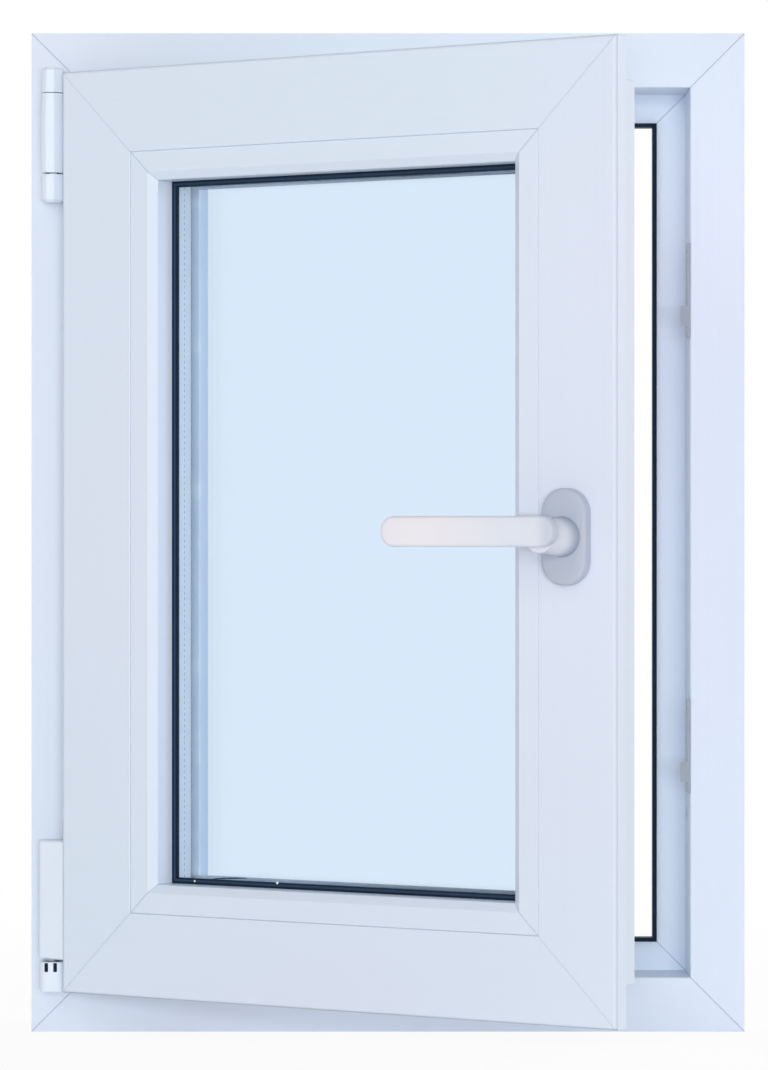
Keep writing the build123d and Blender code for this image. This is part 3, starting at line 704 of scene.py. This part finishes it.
def lever_finish(name, colours):
    """Satin powder coat, warm at the tip and cooler at the neck, with painted shade darker towards
    the neck and darkest where it turns into it; rubbed smoother towards the tip where the hand grips
    it.
    """
    material, recipe = new_finish(name)
    point = recipe.place(True)
    peel = recipe.noise(point, PEEL_SCALE, 2)
    along = recipe.axis(point, "X")
    held_and_lit = recipe.ease(along, HANDLE_X, LEVER_LOW.x + HELD_AND_LIT_END)
    turn_shade = LEVER_SHADE * recipe.ease(along, HANDLE_X, HANDLE_X + LEVER_SHADE_REACH)
    rubbed = recipe.noise(recipe.stretch(point, RUBBED_GRAIN), 1, 3)
    # Painted shade: darker towards the neck, darkest where the lever turns into it.
    plain = recipe.blend(held_and_lit, colours.lever_root, colours.lever)
    principled(
        recipe,
        base_color=recipe.blend(turn_shade, plain, colours.neck),
        roughness=HANDLE_ROUGHNESS + PEEL_ROUGHENS * peel - HOLDING_SMOOTHS * held_and_lit * rubbed,
        specular_ior_level=HANDLE_SPECULAR,
        normal=recipe.bump(peel, FINE_DEPTH),
    )
    return material


def neck_finish(name, colours):
    """The lever's coat with painted shade, deepening towards the plate."""
    material, recipe = new_finish(name)
    point = recipe.place(True)
    peel = recipe.noise(point, PEEL_SCALE, 2)
    # Painted shade: the neck darkens towards the plate.
    lit_above_plate = recipe.ease(recipe.axis(point, "Y"), PLATE_LOW.y, PLATE_LOW.y - NECK_SHADE_REACH)
    principled(
        recipe,
        base_color=recipe.blend(lit_above_plate, colours.neck, colours.lever_root),
        roughness=NECK_ROUGHNESS + PEEL_ROUGHENS * peel,
        specular_ior_level=HANDLE_SPECULAR,
        normal=recipe.bump(peel, FINE_DEPTH),
    )
    return material


def dress(material, *nodes):
    """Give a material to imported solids."""
    for node in nodes:
        slots = frame["nodes"][node].data.materials
        slots.clear()
        slots.append(material)


def soften(width, *nodes):
    """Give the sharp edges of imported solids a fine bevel."""
    for node in nodes:
        solid = frame["nodes"][node]
        weld = solid.modifiers.new("weld", "WELD")
        weld.merge_threshold = WELD_DISTANCE
        bevel = solid.modifiers.new("bevel", "BEVEL")
        bevel.width = width
        bevel.segments = BEVEL_STEPS
        bevel.limit_method = "ANGLE"
        bevel.angle_limit = SHARP_ANGLE
        bevel.harden_normals = True


def loft(shape, rings):
    """Skin a list of rings with the same number of points each, and close both ends."""
    loops = [[shape.verts.new(point) for point in ring] for ring in rings]
    for (lower, upper) in zip(loops, loops[1:]):
        for (index, vertex) in enumerate(lower):
            following = (index + 1) % len(lower)
            shape.faces.new((vertex, lower[following], upper[following], upper[index]))
    shape.faces.new(loops[0])
    shape.faces.new(loops[-1])


def rounded_box(low, high, radii, steps):
    """Points round a rectangle; its corners' radii go anticlockwise from the lowest corner."""
    corners = (
        (low[0] + radii[0], low[1] + radii[0]),
        (high[0] - radii[1], low[1] + radii[1]),
        (high[0] - radii[2], high[1] - radii[2]),
        (low[0] + radii[3], high[1] - radii[3]),
    )
    points = []
    for (quarter, ((x, y), radius)) in enumerate(zip(corners, radii)):
        for step in range(steps + 1):
            angle = math.pi / 2 * (quarter + 2 + step / steps)
            points.append((x + radius * math.cos(angle), y + radius * math.sin(angle)))
    return points


def circle(radius, height, count):
    """A level ring of points about the Z axis."""
    angles = [2 * math.pi * index / count for index in range(count)]
    return [Vector((radius * math.cos(a), radius * math.sin(a), height)) for a in angles]


def cross(reach, half_width, height):
    """A level ring of 24 points round a cross, in step with a ring of 24 on a circle."""
    points = []
    for arm in range(4):
        turn = Matrix.Rotation(arm * math.pi / 2, 3, "Z")
        for (x, y) in (
            (reach, 0), (reach, half_width), ((reach + half_width) / 2, half_width),
            (half_width, half_width), (half_width, (reach + half_width) / 2), (half_width, reach),
        ):
            points.append(turn @ Vector((x, y, height)))
    return points


def rounded_side(low, high, low_radius, high_radius, steps):
    """Height and inset of each ring up a side whose lower and upper edges are rounded."""
    quarter = [math.pi / 2 * step / steps for step in range(steps + 1)]
    foot = [(low + low_radius * (1 - math.cos(angle)), low_radius * (1 - math.sin(angle)))
            for angle in quarter]
    brow = [(high - high_radius * (1 - math.sin(angle)), high_radius * (1 - math.cos(angle)))
            for angle in quarter]
    return foot + brow


def pad(low, high, radii, levels, steps):
    """Rings of a block that faces the room: each level is a distance from the leaf and an inset."""
    rings = []
    for (distance, inset) in levels:
        outline = rounded_box(
            [edge + inset for edge in low],
            [edge - inset for edge in high],
            [max(radius - inset, SMALLEST_RADIUS) for radius in radii],
            steps,
        )
        rings.append([Vector((x, LEAF_FACE - distance, z)) for (x, z) in outline])
    return rings


def make_piece(name, rings_list, body, material, place=Matrix(), replaces=()):
    """A closed piece from one or more lofts, riding on a body."""
    shape = bmesh.new()
    for rings in rings_list:
        loft(shape, rings)
    bmesh.ops.recalc_face_normals(shape, faces=shape.faces)
    mesh = bpy.data.meshes.new(name)
    shape.to_mesh(mesh)
    shape.free()
    mesh.transform(place)
    mesh.materials.append(material)
    piece = bpy.data.objects.new(name, mesh)
    bpy.context.scene.collection.objects.link(piece)
    mesh.shade_smooth()
    mesh.set_sharp_from_angle(angle=SHARP_ANGLE)
    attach(piece, body)
    if replaces:
        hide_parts(*replaces)
    return piece


def facing(point, outward):
    """The place of a fitting that stands on a point and looks outward."""
    return Matrix.Translation(point) @ outward.to_track_quat("Z", "Y").to_matrix().to_4x4()


def moved(rings, place):
    """Rings carried to a place."""
    return [[place @ point for point in ring] for ring in rings]


def lamp(name, power, size, location, target, glint=False):
    """A soft lamp of a width and a height that looks at a point; glint lets gloss show it."""
    light = bpy.data.lights.new(name, "AREA")
    light.energy = power
    light.shape = "RECTANGLE"
    (light.size, light.size_y) = size
    holder = bpy.data.objects.new(name, light)
    holder.location = location
    holder.rotation_euler = (Vector(target) - Vector(location)).to_track_quat("-Z", "Y").to_euler()
    holder.visible_camera = False
    holder.visible_glossy = glint
    bpy.context.scene.collection.objects.link(holder)


class DressProfiles(bpy.types.Operator):
    """Give the frame, the leaf and the glazing beads their uPVC."""

    bl_idname = "tilt_window.profiles"
    bl_label = "Profiles"

    def execute(self, context):
        colours = context.scene.window_finish
        frame_members = (
            ("upvc_frame_rails", "X", ("frame_top_rail", "frame_bottom_rail")),
            ("upvc_frame_jambs", "Z", ("frame_hinge_jamb", "frame_lock_jamb")),
        )
        leaf_members = (
            ("upvc_leaf_rails", "X", ("leaf_top_rail", "leaf_bottom_rail")),
            ("upvc_leaf_stiles", "Z", ("leaf_hinge_stile", "leaf_lock_stile")),
        )
        beads = (
            ("upvc_bead_rails", "X", ("glazing_bead_top", "glazing_bead_bottom")),
            ("upvc_bead_stiles", "Z", ("glazing_bead_hinge", "glazing_bead_lock")),
        )
        # The third column is the strength of the painted shade line along the leaf's rounded edges.
        for (leaf, seam, rim, roughness, members) in (
            (False, FRAME_SEAM, 0, UPVC_ROUGHNESS, frame_members),
            (True, LEAF_SEAM, LEAF_RIM_SHADE, UPVC_ROUGHNESS, leaf_members),
            (True, BEAD_SEAM, 0, BEAD_ROUGHNESS, beads),
        ):
            for (name, along, nodes) in members:
                dress(upvc_finish(name, colours, along, leaf, seam, rim, roughness), *nodes)
        return {"FINISHED"}


class DressGlazing(bpy.types.Operator):
    """Give the panes, the spacer and the seals their materials."""

    bl_idname = "tilt_window.glazing"
    bl_label = "Glazing and seals"

    def execute(self, context):
        colours = context.scene.window_finish
        dress(glass_finish("float_glass", colours), "inner_pane", "outer_pane")
        dress(spacer_finish("spacer_bar", colours), "glass_spacer")
        rubber = rubber_finish("seal_rubber", colours.seal)
        dress(rubber, "frame_seal", "leaf_overlap_seal")
        dress(gasket_finish("gasket_rubber", colours), "inner_glazing_seal")
        dress(rubber_finish("outer_seal_rubber", colours.outer_seal), "outer_glazing_seal")
        self.lift_gasket_lip(rubber)
        self.leave_specks(coat_finish("sealant", SEALANT_COLOUR, SEALANT_ROUGHNESS))
        return {"FINISHED"}

    def lift_gasket_lip(self, rubber):
        """A short thread of the gasket's lip that has lifted onto the glass, low on the left."""
        (low, high) = shut_box("inner_pane")
        rings = []
        for step in range(LIP_STEPS + 1):
            share = step / LIP_STEPS
            middle = Vector((
                GASKET_LOW.x + LIP_START + LIP_LENGTH * share,
                low.y,
                GASKET_LOW.z + LIP_HEIGHT + LIP_RISE * share * (1 - LIP_DROOP * share),
            ))
            swell = math.sin(math.pi * (LIP_END + (1 - 2 * LIP_END) * share))
            radius = LIP_RADIUS * (LIP_THINNEST + (1 - LIP_THINNEST) * swell)
            ring = circle(radius, 0, LIP_SIDES)
            rings.append([middle + Vector((0, point.x, point.y)) for point in ring])
        make_piece("lifted_gasket_lip", [rings], "leaf", rubber, LEAF_OPEN)

    def leave_specks(self, coat):
        """Two specks of white sealant at the gasket's lower edge."""
        specks = []
        for (along, height, radius) in SPECKS:
            middle = Vector((GASKET_LOW.x + along, GASKET_LOW.y, GASKET_LOW.z + height))
            place = facing(middle, ROOM)
            dome = [circle(radius * share, radius * rise, SPECK_SIDES)
                    for (share, rise) in SPECK_DOME]
            specks.append(moved(dome, place))
        make_piece("sealant_specks", specks, "leaf", coat, LEAF_OPEN)


class DressGear(bpy.types.Operator):
    """Give the steel gear, the cams and the keeps their plating, their screws and their rivet."""

    bl_idname = "tilt_window.gear"
    bl_label = "Gear and keeps"

    def execute(self, context):
        colours = context.scene.window_finish
        fittings = context.scene.window_fittings
        upright = metal_finish("steel_upright", colours.steel, BRUSHED_UPRIGHT, leaf=True)
        level = metal_finish("steel_level", colours.steel, BRUSHED_LEVEL, leaf=True)
        cast = metal_finish("zinc_cast", colours.zinc, CAST_GRAIN, roughness=ZINC_ROUGHNESS,
                            depth=CAST_DEPTH)
        bright = metal_finish("screw_steel", colours.steel, CAST_GRAIN, roughness=SCREW_ROUGHNESS)
        keeps = {"lock_keep_lower": LEFT, "lock_keep_upper": LEFT, "top_keep": DOWN, "tilt_keep": UP}
        dress(upright, "lock_strip", "lock_cams", "bottom_hinge_band", "hinge_cup")
        dress(level, "top_strip", "bottom_strip", "stay_arm", "top_cam", "tilt_cam")
        dress(cast, *keeps)
        soften(fittings.edge_bevel, "lock_strip", "top_strip", "bottom_strip", *keeps)
        keep_places = []
        for (node, outward) in keeps.items():
            keep_places += self.keep_screws(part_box(node), outward, fittings.keep_thickness)
        strips = {"lock_strip": RIGHT, "top_strip": UP, "bottom_strip": DOWN}
        leaf_places = []
        for (node, outward) in strips.items():
            leaf_places += self.strip_screws(shut_box(node), outward)
        band_end = Vector((BAND_LOW.x, PIVOT.y, BAND_HIGH.z - BAND_SCREW_INSET))
        leaf_places.append(facing(self.on_edge(band_end), LEFT))
        self.make_screws("keep_screws", keep_places, "frame", bright, fittings)
        self.make_screws("leaf_screws", [LEAF_OPEN @ place for place in leaf_places], "leaf",
                         bright, fittings)
        self.make_rivet(bright, fittings)
        return {"FINISHED"}

    def on_edge(self, point):
        """The point moved onto the band that lies along the leaf's edge."""
        return Vector((LEAF_LOW.x - BAND_THICKNESS, point.y, point.z))

    def keep_screws(self, corners, outward, thickness):
        """Two places on a keep, near its ends."""
        (low, high) = corners
        floor = Vector(high[axis] if outward[axis] < 0 else low[axis] for axis in range(3))
        middle = (low + high) / 2
        along = UP if outward.x else RIGHT
        length = (high - low).dot(along)
        face = middle + outward * (floor - middle).dot(outward) + outward * thickness
        return [facing(face + along * length * share, outward) for share in KEEP_SCREWS]

    def strip_screws(self, corners, outward):
        """Places spaced along a strip, clear of its slots."""
        (low, high) = corners
        along = UP if outward.x else RIGHT
        middle = (low + high) / 2
        face = middle + outward * (high - low).dot(Vector(map(abs, outward))) / 2
        length = (high - low).dot(along)
        return [facing(face + along * length * share, outward) for share in STRIP_SCREWS]

    def make_screws(self, name, places, body, material, fittings):
        """One piece with a cross recessed head at each place."""
        proud = fittings.screw_proud
        half_width = fittings.recess_width / 2
        head = [
            circle(fittings.screw_radius, -fittings.recess_depth, HEAD_SIDES),
            circle(fittings.screw_radius, proud * HEAD_RIM, HEAD_SIDES),
            circle(fittings.screw_radius * HEAD_FACE, proud, HEAD_SIDES),
            cross(fittings.recess_reach, half_width, proud),
            cross(fittings.recess_reach * RECESS_TAPER, half_width * RECESS_TAPER,
                  proud - fittings.recess_depth),
        ]
        make_piece(name, [moved(head, place) for place in places], body, material)

    def make_rivet(self, material, fittings):
        """The domed head of the pin at the end of the stay."""
        (low, high) = shut_box("stay_arm")
        strip_middle = (shut_box("top_strip")[0].y + shut_box("top_strip")[1].y) / 2
        top = Vector((high.x - ARM_HALF_WIDTH, strip_middle, high.z))
        radius = fittings.rivet_radius
        rings = [circle(radius * share, fittings.rivet_height * height, HEAD_SIDES)
                 for (share, height) in RIVET_DOME]
        make_piece("stay_rivet", [moved(rings, facing(top, UP))], "stay", material,
                   LEAF_OPEN)


class DressCovers(bpy.types.Operator):
    """Give the hinge covers, the bearing block and the drain caps their plastic."""

    bl_idname = "tilt_window.covers"
    bl_label = "Covers and caps"

    def execute(self, context):
        colours = context.scene.window_finish
        fittings = context.scene.window_fittings
        plastic = coat_finish("cover_plastic", colours.cover, COVER_ROUGHNESS)
        covers = ("top_hinge_bracket", "top_hinge_barrel", "bottom_hinge_block",
                  "bottom_hinge_cover")
        dress(plastic, *covers)
        dress(coat_finish("cap_plastic", colours.upvc, CAP_ROUGHNESS), "drain_caps")
        soften(fittings.edge_bevel, *covers, "drain_caps")
        # Dark pieces in the bearing block's slots: painted shade.
        self.shade_slots(rubber_finish("slot_shade_plugs", colours.seal))
        return {"FINISHED"}

    def shade_slots(self, rubber):
        """Dark rubber pieces in the two adjusting screws' slots in the front of the bearing block:
        painted shade in the slots.
        """
        middle = (BLOCK_LOW.x + BLOCK_HIGH.x) / 2 + SLOT_SHIFT
        plugs = []
        for side in (-1, 1):
            centre = middle + side * SLOT_SPACING / 2
            outline = rounded_box(
                (centre - SLOT_WIDTH / 2, BLOCK_HIGH.z - SLOT_HEIGHT),
                (centre + SLOT_WIDTH / 2, BLOCK_HIGH.z - SLOT_TOP),
                [SLOT_RADIUS] * 4, SLOT_STEPS,
            )
            plugs.append([[Vector((x, BLOCK_LOW.y + depth, z)) for (x, z) in outline]
                          for depth in (SLOT_BACK, SLOT_FRONT)])
        make_piece("hinge_block_slot_shade", plugs, "frame", rubber)


class DressHandle(bpy.types.Operator):
    """Make the lever with its neck and the plate behind it."""

    bl_idname = "tilt_window.handle"
    bl_label = "Handle"

    def execute(self, context):
        colours = context.scene.window_finish
        handle = context.scene.window_handle
        self.make_plate(handle, coat_finish("plate_coat", colours.plate, HANDLE_ROUGHNESS))
        self.make_lever(handle, lever_finish("lever_coat", colours),
                        neck_finish("neck_coat", colours))
        return {"FINISHED"}

    def crowned(self, levels, crown):
        """The same levels, closed by two more that rise to a slight crown."""
        (top, inset) = levels[-1]
        return levels + [
            (top + crown * CROWN_RISE, inset + CROWN_START),
            (top + crown, inset + CROWN_END),
        ]

    def make_plate(self, handle, coat):
        thickness = LEAF_FACE - PLATE_LOW.y
        half_width = (PLATE_HIGH.x - PLATE_LOW.x) / 2
        radius = half_width - SMALLEST_RADIUS
        levels = [(0, PLATE_FOOT), (PLATE_FOOT, 0)]
        levels += rounded_side(PLATE_FOOT * 2, thickness - handle.crown, 0, handle.plate_edge,
                               handle.steps)[handle.steps:]
        rings = pad((PLATE_LOW.x, PLATE_LOW.z), (PLATE_HIGH.x, PLATE_HIGH.z), [radius] * 4,
                    self.crowned(levels, handle.crown), handle.steps)
        make_piece("handle_plate_cover", [rings], "leaf", coat, LEAF_OPEN,
                   ("handle_plate",))

    def make_lever(self, handle, coat, neck_coat):
        front = LEAF_FACE - LEVER_LOW.y
        back = front - handle.lever_thickness
        middle = HANDLE_Z + handle.lever_rise
        half_width = handle.lever_width / 2
        root_radius = half_width - SMALLEST_RADIUS
        levels = rounded_side(back, front - handle.crown, handle.lever_edge, handle.lever_edge,
                              handle.steps)
        grip = pad(
            (LEVER_LOW.x, middle - half_width),
            (HANDLE_X + handle.lever_root, middle + half_width),
            (handle.lever_tip_radius, root_radius, root_radius, handle.lever_tip_radius),
            self.crowned(levels, handle.crown),
            handle.steps,
        )
        plate_front = LEAF_FACE - PLATE_LOW.y
        rise = back + NECK_DEPTH - plate_front
        neck = []
        for step in range(NECK_STEPS + 1):
            share = step / NECK_STEPS
            spread = (1 - share) ** NECK_FLARE
            radius = handle.neck_top_radius + (handle.neck_radius - handle.neck_top_radius) * spread
            distance = plate_front + NECK_GAP + (rise - NECK_GAP) * share
            place = facing(Vector((HANDLE_X, LEAF_FACE - distance, HANDLE_Z)), ROOM)
            neck.append([place @ point for point in circle(radius, 0, NECK_SIDES)])
        make_piece("handle_grip", [grip], "handle", coat, LEAF_OPEN, ("handle_lever",))
        make_piece("handle_neck", [neck], "handle", neck_coat, LEAF_OPEN,
                   ("handle_lever",))


class SetStudio(bpy.types.Operator):
    """Set the camera, the lamps, the pale floor and the white surroundings."""

    bl_idname = "tilt_window.studio"
    bl_label = "Studio"

    def execute(self, context):
        scene = context.scene
        studio = scene.window_studio
        self.set_camera(scene, studio)
        self.set_world(scene, studio)
        self.make_floor(scene, studio)
        middle = (0, 0, studio.camera_height)
        lamp("front_lamp", studio.front_power, (2.8, 1.1), (-0.3, FAR_LAMPS, 1.5), middle)
        lamp("low_lamp", studio.low_power, (3, 0.26), (0.6, FAR_LAMPS, LOW_LAMP), (0, 0, LOW_LAMP))
        lamp("key_lamp", studio.key_power, (1.2, 1.2), (-1.2, NEAR_LAMPS, 1.9), middle, glint=True)
        lamp("fill_lamp", studio.fill_power, (1.6, 1.6), (1.9, NEAR_LAMPS, 0.9), middle)
        lamp("back_lamp", studio.back_power, (1.8, 1.8), (2.5, 1.8, 1.3), middle)
        lamp("rear_lamp", studio.rear_power, (1.8, 1.8), (-1.6, 3, 1.6), middle)
        return {"FINISHED"}

    def set_camera(self, scene, studio):
        camera = bpy.data.cameras.new("photo_camera")
        camera.lens = studio.lens
        holder = bpy.data.objects.new("photo_camera", camera)
        room_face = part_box("frame_top_rail")[0].y
        holder.location = (studio.camera_side, room_face - studio.camera_distance,
                           studio.camera_height)
        holder.rotation_euler = (math.radians(90), 0, 0)
        scene.collection.objects.link(holder)
        scene.camera = holder
        scene.view_settings.view_transform = "Standard"

    def seen(self, recipe):
        """1 for the rays that show what is behind the window, 0 for those that light it."""
        rays = [recipe.add("LightPath", None, None, f"Is {kind} Ray")
                for kind in ("Camera", "Glossy", "Transmission")]
        return (rays[0] + rays[1] + rays[2]).lower(1)

    def set_world(self, scene, studio):
        world = bpy.data.worlds.new("studio_world")
        world.use_nodes = True
        scene.world = world
        recipe = Recipe(world.node_tree)
        seen = self.seen(recipe)
        strength = studio.ambient + (1 - studio.ambient) * seen
        sky = recipe.add("Background", None, {"Color": (1, 1, 1, 1), "Strength": strength})
        recipe.add("OutputWorld", None, {"Surface": sky})

    def make_floor(self, scene, studio):
        shape = bmesh.new()
        bmesh.ops.create_circle(shape, cap_ends=True, segments=FLOOR_SIDES, radius=FLOOR_RADIUS)
        mesh = bpy.data.meshes.new("studio_floor")
        shape.to_mesh(mesh)
        shape.free()
        floor = bpy.data.objects.new("studio_floor", mesh)
        floor.location.z = FRAME_LOW.z - FLOOR_DROP
        scene.collection.objects.link(floor)
        material, recipe = new_finish("floor_paint")
        distance = recipe.add("VectorMath", {"operation": "LENGTH"}, {0: recipe.place()}, "Value")
        far = recipe.ease(distance, FLOOR_NEAR, FLOOR_FAR)
        grain = recipe.bump(recipe.noise(recipe.place(), FLOOR_SCALE), FINE_DEPTH)
        paint = recipe.add("BsdfDiffuse", None, {"Color": studio.floor, "Normal": grain})
        glow = recipe.add("Emission", None, {"Color": (1, 1, 1, 1), "Strength": 1})
        shown = self.seen(recipe) * (FLOOR_GLOW + (1 - FLOOR_GLOW) * far)
        recipe.surface(recipe.add("MixShader", None, {0: shown, 1: paint, 2: glow}))
        mesh.materials.append(material)


class WindowPanel(bpy.types.Panel):
    """Lists the window's finishes, its fittings and its studio."""

    bl_label = "Tilt and Turn Window"
    bl_idname = "VIEW3D_PT_tilt_window"
    bl_space_type = "VIEW_3D"
    bl_region_type = "UI"
    bl_category = "Window"

    def draw(self, context):
        groups = (
            ("Finishes", context.scene.window_finish),
            ("Handle", context.scene.window_handle),
            ("Fittings", context.scene.window_fittings),
            ("Studio", context.scene.window_studio),
        )
        for (title, settings) in groups:
            box = self.layout.box()
            box.label(text=title)
            for name in settings.__annotations__:
                box.prop(settings, name)
        for step in STEPS:
            self.layout.operator(step.bl_idname)


SETTINGS = (
    ("window_finish", FinishSettings),
    ("window_handle", HandleSettings),
    ("window_fittings", FittingSettings),
    ("window_studio", StudioSettings),
)
STEPS = (DressProfiles, DressGlazing, DressGear, DressCovers, DressHandle, SetStudio)


def register():
    for (name, group) in SETTINGS:
        bpy.utils.register_class(group)
        setattr(bpy.types.Scene, name, PointerProperty(type=group))
    for part in (*STEPS, WindowPanel):
        bpy.utils.register_class(part)


def unregister():
    for part in (WindowPanel, *reversed(STEPS)):
        bpy.utils.unregister_class(part)
    for (name, group) in reversed(SETTINGS):
        delattr(bpy.types.Scene, name)
        bpy.utils.unregister_class(group)


def main():
    """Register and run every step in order."""
    register()
    for step in STEPS:
        (family, name) = step.bl_idname.split(".")
        getattr(getattr(bpy.ops, family), name)()


if __name__ == "__main__":
    main()
